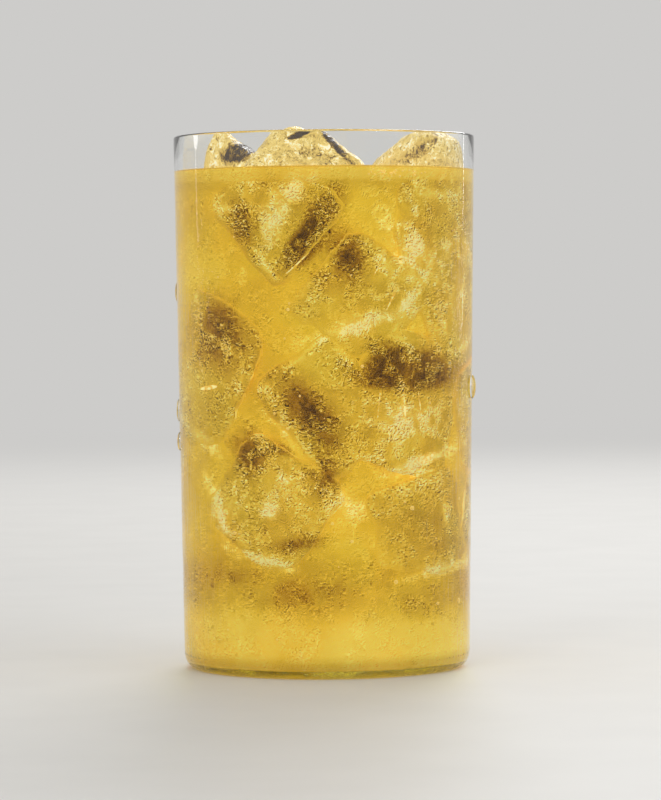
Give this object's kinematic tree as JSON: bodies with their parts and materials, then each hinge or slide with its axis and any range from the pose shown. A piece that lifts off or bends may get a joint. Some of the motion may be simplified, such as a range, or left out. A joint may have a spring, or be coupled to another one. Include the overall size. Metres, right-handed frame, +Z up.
{
  "type": "glass of iced agave lemonade",
  "caption": "Tall, slightly tapered clear glass of iced yellow agave lemonade, filled nearly to the rim, with ice standing out of it and beads of water on the outside.",
  "frame": {"origin": "on the table, under the middle of the glass", "axes": "+Z up along the glass, -Y towards the viewer of the picture, +X to that viewer's right"},
  "size_m": [0.076, 0.076, 0.1363],
  "materials": {
    "clear_glass": "thin, clear and polished, wet with condensation outside",
    "lemonade": "golden yellow, slightly cloudy drink",
    "ice": "melting ice, part clear and part frosted with cracks and bubbles"
  },
  "bodies": {
    "root": {"glass": "clear_glass", "lemonade": "lemonade", "ice_left": "ice", "ice_middle": "ice", "ice_right": "ice"}
  },
  "joints": []
}
